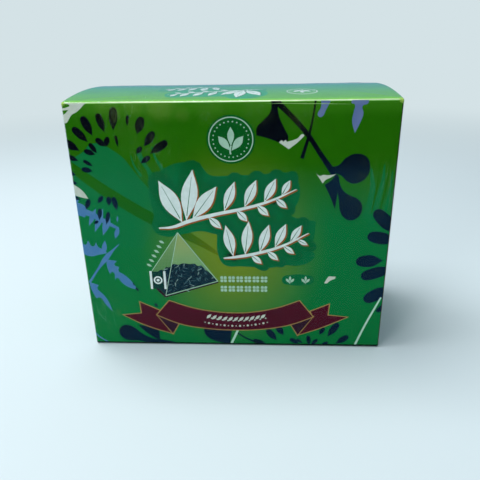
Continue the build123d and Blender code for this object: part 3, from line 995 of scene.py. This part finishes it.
def printSide(sideName, place):
    trims = [(0, back - fold, 1), (0, front + fold, -1),
             (1, topFold - fold - 0.3 * mm, 1), (1, base + fold, -1)]
    x, y, width, height = sidePrint["panel"]
    panel = roundedRectangle(x, y, width, height, sidePrint["corner"])
    levels = [y + height / 2 - 5 - i * sidePrint["pitch"] for i in range(sidePrint["rules"])]
    rules = [stroke([(x - width / 2 + 3, level), (x + width / 2 - 3, level)], [sidePrint["line"]] * 2)
             for level in levels]
    wave = [(-38, 52, 1), (-26, 60), (-10, 52), (6, 38), (20, 34), (38, 44, 1), (38, -2, 1), (-38, -2, 1)]
    foot = fan(-28, 0, 6, 17, 15, 130, 8, 2.6) + fan(22, -2, 7, 19, 40, 150, 9, 3)
    foot += fan(38, 62, 4, 13, 110, 250, 7, 2.8)
    foot += [leaf(-38, 100, -24, 92, 6), leaf(-38, 88, -27, 84, 4.4), leaf(38, 96, 27, 104, 6)]
    ferns = [leaf(-40, 30, -27, 25, 4.6), leaf(-40, 24, -30, 16, 4), leaf(14, 22, 6, 32, 3.4),
             leaf(8, 16, -3, 22, 3.4), stroke([(20, 10), (8, 18), (-8, 24), (-38, 27)], [0.8, 1.2, 1.2, 0.8])]
    petals = [leaf(-38, 125, -26, 119, 4.4, 0.4, True), leaf(-38, 121, -28, 111, 4, 0.45, True),
              leaf(-38, 116, -33, 107, 3, 0.45, True), leaf(30, 60, 24, 74, 3)]
    emblemDisc = [disc(*sidePrint["emblem"], 16)]
    emblemLines = emblemShapes(*sidePrint["emblem"], 0.5)
    for name, shapes, colour, layer in (
            ("Field", [wave], "tealGreen", 1), ("Ferns", ferns, "blue", 2), ("Garden", foot, "navy", 3),
            ("Petals", petals, "cream", 4), ("PanelEdge", [grown(panel, 0.7)], "gold", 4),
            ("Panel", [panel], "mint", 5), ("Rules", rules, "halo", 6), ("Emblem", emblemDisc, "emblem", 4),
            ("EmblemLines", emblemLines, "mint", 5)):
        printInk(sideName + name, shapes, inks[colour], layer, place, trims)


printSide("rightSide", ontoRight)
printSide("leftSide", ontoLeft)
print("sides printed")

# The back repeats the middle of the front, turned round, over a garden of its own
backTrims = [(0, right - fold, 1), (0, left + fold, -1), (1, topFold - 0.6 * mm, 1), (1, base + fold, -1)]
backField = [(-80, 88, 1), (-60, 100), (-40, 92), (-14, 74), (20, 66), (50, 78), (80, 96, 1), (80, -2, 1),
             (-80, -2, 1)]
backGarden = fan(58, 100, 9, 24, -10, 190, 13, 4) + fan(58, 100, 5, 12, 10, 170, 7, 2.8)
backGarden += fan(-70, 0.6, 8, 22, 4, 110, 10, 4) + fan(66, 2.6, 8, 22, 60, 180, 10, 4)
backGarden += [leaf(-80, 78, -68, 86, 6.4), leaf(-80, 64, -67, 66, 6.4), leaf(-80, 50, -68, 46, 6.2),
               leaf(-44, 108, -60, 98, 11, 0.7),
               stroke([(-26, 131), (-34, 120), (-44, 108)], [2.6, 2.2, 2.4]),
               leaf(-46, 106, -52, 84, 8, 0.7)]
backFerns = [leaf(80, 62, 67, 56, 5), leaf(80, 52, 68, 44, 4.6), leaf(72, 38, 62, 30, 4),
             leaf(76, 30, 68, 20, 4), stroke([(58, 70), (66, 56), (78, 34)], [1, 1.5, 1]),
             leaf(-38, 131, -36, 116, 5), leaf(-56, 131, -56, 120, 4)]
printInk("backField", [backField], inks["tealGreen"], 1, ontoBack, backTrims)
printInk("backFerns", backFerns, inks["blue"], 2, ontoBack, backTrims)
printInk("backGarden", backGarden, inks["navy"], 3, ontoBack, backTrims)
repeated = ("Halo", "HaloDeep", "SprigEdge", "Sprigs", "SprigVeins", "Emblem", "EmblemLines",
            "RibbonTailEdge", "RibbonTails", "RibbonFoldEdge", "RibbonFolds", "RibbonBandEdge", "RibbonBand",
            "RibbonGarland")
for piece in [p for p in printed if p.name in ["print" + part for part in repeated]]:
    pick(piece)
    bpy.ops.object.duplicate()
    turned = bpy.context.object
    turned.name = turned.data.name = piece.name.replace("print", "back")
    bpy.ops.transform.rotate(value=pi, orient_axis="Z", center_override=(0, 0, 0))
    applyPlace()
    printed.append(turned)
print("back printed")

# Overwrap: one skin of crisp clear film all round, its ends folded over the side panels, a long seam behind

film = {"gap": 0.11 * mm, "thick": 0.03 * mm, "cells": 1.45 * mm, "sheetCells": 1.8 * mm, "roll": 4,
        "slack": 0.05, "slackSize": 16 * mm, "lap": 10 * mm, "inset": 1.5 * mm, "layer": 0.09,
        "seamWidth": 12 * mm, "seamLevel": 28 * mm}
# Crumpled places are (x, y, z, reach, sheen), in millimetres. Sheen is how strongly a painted sheen of light
# shows on the film there.
filmLook = {
    # The diffuse layer's yellow-green is painted sheen as well as haze.
    "ior": 1.36, "dulled": 0.017, "roughness": 0.07, "mirrorTint": "c4ecff", "hazeAndSheen": "bce064",
    "bump": 0.12 * mm, "rippleSize": 6 * mm, "ripple": 0.03, "creaseSize": 9 * mm, "creaseWidth": 0.018,
    "scatter": 0.03, "haze": 0.001, "cutHaze": 0.35,
    "crumpled": [(-48, -36, 129, 24, 0.008), (-53, -36, 126, 7, 0.02), (-38, -36, 108, 20, 0.004),
                 (-57, -36, 131, 9, 0.03), (-44, -36, 131, 9, 0.045), (-32, -36, 129, 10, 0.055),
                 (-22, -36, 125, 5, 0.03), (-9, -36, 126, 10, 0.012), (12, -36, 126, 10, 0.012),
                 (32, -36, 124, 12, 0.01), (69, -36, 90, 22, 0.004), (-70, -36, 20, 18, 0.003),
                 (-60, 0, 132, 30, 0.01), (64, 10, 132, 26, 0.01), (77.4, -36, 130.6, 2.6, 0.6),
                 (-77.4, -36, 130.6, 2.2, 0.5)]}


def clearFilm(name, haze):
    # Polypropylene film: it mirrors a pale blue room, more towards a glancing view. Where it is crumpled,
    # fine creases catch the light and scatter it. A yellow-green diffuse layer in it is a faint haze all
    # over, and at the crumpled places a painted sheen of light.
    material, tree = startMaterial(name)
    places = addNode(tree, "TexCoord").outputs["Object"]
    ripple = addNode(tree, "TexNoise", {"Vector": places, "Scale": 1 / filmLook["rippleSize"], "Detail": 2.0,
                                        "Roughness": 0.5})
    stretched = addNode(tree, "Mapping", {"Vector": places, "Rotation": (0, 0.35, 0), "Scale": (2.4, 1, 0.7)})
    wander = addNode(tree, "TexNoise", {"Vector": stretched, "Scale": 1 / filmLook["creaseSize"],
                                        "Detail": 3.0, "Distortion": 0.6})
    off = addNode(tree, "Math", {0: wander, 1: 0.5}, operation="SUBTRACT")
    off = addNode(tree, "Math", {0: off}, operation="ABSOLUTE")
    crease = addNode(tree, "MapRange", {0: off, 1: 0.0, 2: filmLook["creaseWidth"], 3: 1.0, 4: 0.0},
                     interpolation_type="SMOOTHSTEP")
    crumpled = 0.0
    hazeAndSheenShare = haze
    for x, y, z, reach, sheenAmount in filmLook["crumpled"]:
        away = addNode(tree, "VectorMath", {0: places, 1: (x * mm, y * mm, z * mm)}, operation="DISTANCE")
        near = addNode(tree, "MapRange", {0: away.outputs["Value"], 1: reach * mm, 2: 0.2 * reach * mm},
                       interpolation_type="SMOOTHSTEP")
        crumpled = addNode(tree, "Math", {0: near, 1: crumpled}, operation="MAXIMUM")
        sheenHere = addNode(tree, "Math", {0: near, 1: sheenAmount}, operation="MULTIPLY")
        hazeAndSheenShare = addNode(tree, "Math", {0: sheenHere, 1: hazeAndSheenShare}, operation="MAXIMUM")
    lines = addNode(tree, "Math", {0: crease, 1: crumpled}, operation="MULTIPLY")
    waves = addNode(tree, "Math", {0: ripple, 1: filmLook["ripple"]}, operation="MULTIPLY")
    height = addNode(tree, "Math", {0: waves, 1: lines}, operation="ADD")
    bump = addNode(tree, "Bump", {"Height": height, "Strength": 1.0, "Distance": filmLook["bump"]})
    # Seen from inside the film the IOR is turned over, so that a thin sheet never mirrors everything.
    fromBehind = addNode(tree, "NewGeometry").outputs["Backfacing"]
    twice = addNode(tree, "Math", {0: fromBehind, 1: 2.0}, operation="MULTIPLY")
    power = addNode(tree, "Math", {0: 1.0, 1: twice}, operation="SUBTRACT")
    ior = addNode(tree, "Math", {0: filmLook["ior"], 1: power}, operation="POWER")
    mirror = addNode(tree, "Fresnel", {"IOR": ior, "Normal": bump})
    outside = addNode(tree, "Math", {0: 1.0, 1: fromBehind}, operation="SUBTRACT")
    dulled = addNode(tree, "Math", {0: mirror, 1: filmLook["dulled"]}, operation="SUBTRACT")
    seen = addNode(tree, "Math", {0: dulled, 1: outside}, operation="MULTIPLY")
    gloss = addNode(tree, "BsdfGlossy", {"Color": linear(filmLook["mirrorTint"]),
                                         "Roughness": filmLook["roughness"], "Normal": bump})
    clear = addNode(tree, "BsdfTransparent", {"Color": linear("ffffff")})
    # The diffuse layer: haze, the creases' scatter, and a painted sheen.
    hazeAndSheen = addNode(tree, "BsdfDiffuse", {"Color": linear(filmLook["hazeAndSheen"])})
    scatter = addNode(tree, "Math", {0: lines, 1: filmLook["scatter"], 2: hazeAndSheenShare}, operation="MULTIPLY_ADD")
    clearWithHazeAndSheen = addNode(tree, "MixShader", {0: scatter, 1: clear, 2: hazeAndSheen})
    surface = addNode(tree, "MixShader", {0: seen, 1: clearWithHazeAndSheen, 2: gloss})
    addNode(tree, "OutputMaterial", {"Surface": surface})
    return material


filmClear = clearFilm("clearFilm", filmLook["haze"])
filmCut = clearFilm("clearFilmEdge", filmLook["cutHaze"])

# Creases as (panel, from across, from up, to across, to up, width, height), in millimetres
creases = [
    ("front", -55, 127, -47, 104, 1.5, 0.16), ("front", -47, 129, -40, 101, 1.7, 0.2),
    ("front", -40, 128, -36, 108, 1.2, 0.14), ("front", -36, 126, -24, 104, 1.5, 0.15),
    ("front", -30, 129, -26, 115, 1.2, 0.14), ("front", -52, 112, -38, 108, 1.2, 0.1),
    ("front", -13, 127, -9, 121, 1.0, 0.12), ("front", -9, 128, -5, 122, 1.0, 0.12),
    ("front", 4, 127, 14, 123, 1.0, 0.12), ("front", 10, 129, 17, 125, 1.0, 0.1),
    ("front", 60, 106, 63, 74, 1.3, 0.14), ("front", 66, 110, 68.5, 70, 1.6, 0.18),
    ("front", 71, 116, 74.5, 78, 1.5, 0.18), ("front", 75, 104, 72, 60, 1.2, 0.12),
    ("front", -76, 60, -70, 20, 1.4, 0.1), ("front", -74, 30, -66, 6, 1.3, 0.1),
    ("front", 76, 40, 70, 10, 1.4, 0.1), ("front", 20, 4, 50, 2.5, 1.2, 0.08),
    ("top", -76, -35, -40, -22, 1.6, 0.16), ("top", -76, 35, -44, 24, 1.7, 0.18),
    ("top", 76, -35, 50, -14, 1.6, 0.18), ("top", 76, 35, 36, 26, 1.8, 0.16),
    ("top", -30, 30, 20, 33, 1.8, 0.1), ("top", -72, 0, -40, 4, 1.5, 0.1),
    ("top", 74, 6, 46, 2, 1.5, 0.12), ("top", 0, 33, 40, 20, 1.5, 0.1),
]


def ridges(panel, across, up):
    # How far the creases of one panel lift the film there.
    lift = 0
    for owner, x0, y0, x1, y1, width, height in creases:
        if owner != panel:
            continue
        alongX, alongY = x1 - x0, y1 - y0
        length = hypot(alongX, alongY)
        along = ((across - x0) * alongX + (up - y0) * alongY) / length ** 2
        if -0.1 < along < 1.1:
            wander = 0.9 * sin(along * 5.2 + x0)
            off = (((across - x0) * alongY - (up - y0) * alongX) / length + wander) / width
            if abs(off) < 2.5:
                fade = smooth(-0.1, 0.3, along) * smooth(1.1, 0.7, along)
                lift += height * fade * exp(-off * off)
    return lift


pleats = {"reach": 34, "teeth": 9, "height": 0.3, "dip": 0.06}


def radial(panel, across, up, halfAcross, halfUp):
    # Fine pleats run out from each corner, where the film is gathered into its folds.
    lift = 0
    for sideways in (-1, 1):
        for upward in (-1, 1):
            x, y = abs(sideways * halfAcross - across), abs(upward * halfUp - up)
            away = hypot(x, y)
            if 1 < away < pleats["reach"]:
                angle = atan2(y, x)
                seed = 3.7 * sideways + 5.3 * upward + (2.1 if panel == "top" else 0.0)
                comb = noise.noise((angle * pleats["teeth"], seed, away * 0.02))
                fade = smooth(1, 9, away) * smooth(pleats["reach"], 12, away)
                lift += pleats["height"] * max(comb - pleats["dip"], 0) * fade
    return lift


def filmLift(place, normal):
    # Slack waves everywhere, then creases, fading to nothing along the folds.
    across, up, half = place.x, place.z - topFold / 2, topFold / 2
    panel = "front" if normal.y < -0.8 else "back" if normal.y > 0.8 else "side"
    halfAcross = right
    if abs(normal.z) > 0.8:
        panel, up, half = ("top" if normal.z > 0 else "base"), place.y, back
    elif abs(normal.x) > 0.8:
        across, halfAcross = place.y, back
    inner = smooth(0, 5 * mm, halfAcross - abs(across)) * smooth(0, 5 * mm, half - abs(up))
    wave = noise.noise(place / film["slackSize"]) + 0.5 * noise.noise(place / film["slackSize"] * 2.7)
    lift = film["slack"] * (0.75 + wave) * inner
    if panel in ("front", "top", "back"):
        down = up + topFold / 2 if panel != "top" else up
        near = smooth(0, 2 * mm, halfAcross - abs(across)) * smooth(0, 2 * mm, half - abs(up))
        lift += ridges(panel, across / mm, down / mm) * near
        lift += radial(panel, across / mm, up / mm, halfAcross / mm, half / mm) * near
    return max(lift, 0) * mm if panel != "base" else 0


def makeFilm():
    outer = film["gap"] + film["thick"]
    roll = fold + outer
    foot, top = max(base - outer, 0.01 * mm), foldLevel + roll
    deselectAll()
    bpy.ops.mesh.primitive_cube_add(size=1, location=(0, 0, (foot + top) / 2),
                                    scale=(2 * (right + outer), 2 * (back + outer), top - foot))
    skin = bpy.context.object
    applyPlace()
    edit(skin, "EDGE")
    bpy.ops.mesh.select_all(action="SELECT")
    bpy.ops.mesh.bevel(offset=roll, segments=film["roll"], profile=0.5)
    for axis, span in ((0, right - left), (1, back - front), (2, topFold - base)):
        chooseAlong(skin, axis, 0.8 * span)
        bpy.ops.mesh.subdivide(number_cuts=ceil(span / film["cells"]))
    outwards(skin)
    normals = [v.normal.copy() for v in skin.data.vertices]
    for v, normal in zip(skin.data.vertices, normals):
        lift = filmLift(v.co, normal)
        y = min(max(v.co.y, front + fold), lidBack - fold)
        bow = max(archHeight(y) - foldLevel - fold, 0) * smooth(foldLevel - 16 * mm, foldLevel, v.co.z)
        v.co += normal * lift + Vector((0, 0, bow))
    useModifier(skin, "SOLIDIFY", thickness=film["thick"], offset=-1, use_even_offset=True)
    return finishMesh(skin, "filmSkin", filmClear, angle=40)


skin = makeFilm()
print("film skin modelled")


def filmSheet(name, width, height, shape):
    # One more layer of film: a flat sheet, subdivided, laid in place by shape and given its thickness.
    deselectAll()
    bpy.ops.mesh.primitive_plane_add(size=1)
    sheet = bpy.context.object
    sheet.scale = (width, height, 1)
    applyPlace()
    for axis, span in ((0, width), (1, height)):
        chooseAlong(sheet, axis, 0.8 * span)
        bpy.ops.mesh.subdivide(number_cuts=ceil(span / film["sheetCells"]))
    deselectAll()
    for v in sheet.data.vertices:
        v.co = shape(v.co.x, v.co.y)
    useModifier(sheet, "SOLIDIFY", thickness=film["thick"], offset=0, material_offset_rim=1)
    outwards(sheet)
    return finishMesh(sheet, name, filmClear, filmCut, angle=40)


def endFold(side, upper):
    # The long fold over one side panel: wide at the carton's edge, with mitred ends, its free edge lifting.
    lowEnd, highEnd = base + film["inset"], topFold - film["inset"]
    reach = back - film["inset"]
    # The lower fold stops where the upper one ends, as what's behind the upper one can't be told apart.
    depth = (highEnd - lowEnd) / 2 + (film["lap"] / 2 if upper else -film["lap"] / 2 - 0.1 * mm)
    mitre = reach - film["lap"] / 2
    layer = 2 if upper else 1

    def shape(u, v):
        part = v / depth + 0.5  # nought at the carton's edge, one at the free edge
        run = part * depth
        half = reach - min(run, mitre)
        across = u / reach * half
        pleat = noise.noise((across / mm * 0.22, run / mm * 0.05, side * 7 + layer * 3))
        pleat *= smooth(3 * mm, 14 * mm, run)
        edge = smooth(depth - 5 * mm, depth, run) + smooth(0.88, 1, abs(u) / reach)
        lift = film["gap"] + layer * film["layer"] * mm + (0.08 * abs(pleat) + 0.05 * edge) * mm
        level = highEnd - run if upper else lowEnd + run
        return Vector((side * (right + lift + 0.07 * mm), across, level))

    name = "film" + ("Upper" if upper else "Lower") + ("RightFold" if side > 0 else "LeftFold")
    return filmSheet(name, 2 * reach, depth, shape)


def seamShape(u, v):
    edge = smooth(0.35, 0.5, abs(v) / film["seamWidth"])
    pucker = abs(noise.noise((u / mm * 0.16, v / mm * 0.1, 4.0)))
    return Vector((u, back + film["gap"] + (0.12 + 0.07 * edge + 0.1 * pucker) * mm,
                   base + film["seamLevel"] + v))


filmPieces = [skin] + [endFold(side, upper) for side in (-1, 1) for upper in (False, True)]
filmPieces.append(filmSheet("filmBackSeam", right - left - 2 * film["inset"], film["seamWidth"], seamShape))
print("film folds and seam modelled")


# Floor, light and camera

studio = {"floor": "d3dfe4", "backdrop": "d4e2e6", "near": 0.3, "far": 1.0, "room": "c9d8de",
          "roomStrength": 0.6}


def makeFloor():
    # Matt pale card. Away from the carton the camera sees it run into the even backdrop.
    deselectAll()
    bpy.ops.mesh.primitive_plane_add(size=6, location=(0, 0, 0))
    floor = bpy.context.object
    floor.name = "studioFloor"
    material, tree = startMaterial("matteFloor")
    card = addNode(tree, "BsdfPrincipled", {"Base Color": linear(studio["floor"]), "Roughness": 0.9})
    places = addNode(tree, "TexCoord").outputs["Object"]
    away = addNode(tree, "VectorMath", {0: places}, operation="LENGTH").outputs["Value"]
    far = addNode(tree, "MapRange", {0: away, 1: studio["near"], 2: studio["far"]},
                  interpolation_type="SMOOTHSTEP")
    seen = addNode(tree, "LightPath").outputs["Is Camera Ray"]
    share = addNode(tree, "Math", {0: far, 1: seen}, operation="MULTIPLY")
    even = addNode(tree, "Emission", {"Color": linear(studio["backdrop"])})
    blend = addNode(tree, "MixShader", {0: share, 1: card, 2: even})
    addNode(tree, "OutputMaterial", {"Surface": blend})
    floor.data.materials.append(material)


def makeRoom():
    # A pale room lights the carton. The camera sees the plain backdrop in its place.
    world = bpy.data.worlds.new("paleRoom")
    bpy.context.scene.world = world
    world.use_nodes = True
    tree = world.node_tree
    tree.nodes.clear()
    room = addNode(tree, "Background", {"Color": linear(studio["room"]), "Strength": studio["roomStrength"]})
    wall = addNode(tree, "Background", {"Color": linear(studio["backdrop"])})
    seen = addNode(tree, "LightPath").outputs["Is Camera Ray"]
    blend = addNode(tree, "MixShader", {0: seen, 1: room, 2: wall})
    addNode(tree, "OutputWorld", {"Surface": blend})


camera = {"place": (16.4, -266.2, 158.8), "turn": 3.2, "down": 22.63, "tilt": -1.07, "lens": 37.35}


def makeCamera():
    deselectAll()
    bpy.ops.object.camera_add()
    made = bpy.context.object
    made.data.lens = camera["lens"]
    made.data.sensor_width = 36
    made.data.clip_start = 0.01
    turn = (Matrix.Rotation(radians(camera["turn"]), 4, "Z")
            @ Matrix.Rotation(radians(90 - camera["down"]), 4, "X")
            @ Matrix.Rotation(radians(camera["tilt"]), 4, "Z"))
    made.matrix_world = Matrix.Translation(Vector(camera["place"]) * mm) @ turn
    bpy.context.scene.camera = made


def softLight(name, place, aim, size, power):
    deselectAll()
    bpy.ops.object.light_add(type="AREA", location=place)
    lamp = bpy.context.object
    lamp.name = name
    lamp.data.shape = "RECTANGLE"
    lamp.data.size, lamp.data.size_y = size
    lamp.data.energy = power
    lamp.rotation_euler = (Vector(aim) - Vector(place)).to_track_quat("-Z", "Y").to_euler()


def darkCard(place, size):
    # A black card on the floor, out of view, that only the film mirrors: above it the film looks clearer.
    deselectAll()
    bpy.ops.mesh.primitive_plane_add(size=1, location=place)
    card = bpy.context.object
    card.name = "blackCard"
    card.scale = (*size, 1)
    applyPlace()
    material, tree = startMaterial("blackFelt")
    felt = addNode(tree, "BsdfDiffuse", {"Color": linear("101214")})
    addNode(tree, "OutputMaterial", {"Surface": felt})
    card.data.materials.append(material)
    card.visible_camera = card.visible_diffuse = card.visible_shadow = card.visible_transmission = False


makeFloor()
makeCamera()
darkCard((0, -1.4, 0.002), (4, 2))
softLight("overheadSoftbox", (-0.3, 0.05, 1.0), (0, 0, 0.06), (0.6, 0.6), 9)
softLight("frontSoftbox", (-0.7, -0.95, 0.45), (0, 0, 0.06), (0.35, 0.5), 3.9)
makeRoom()
bpy.context.scene.view_settings.view_transform = "Standard"
print("studio set up")

for piece in (sleeve, lid, bottomFlap, *dustFlaps, *printed):
    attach(piece, "root")
    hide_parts("carton")
for piece in filmPieces:
    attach(piece, "root")
    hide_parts("overwrap")
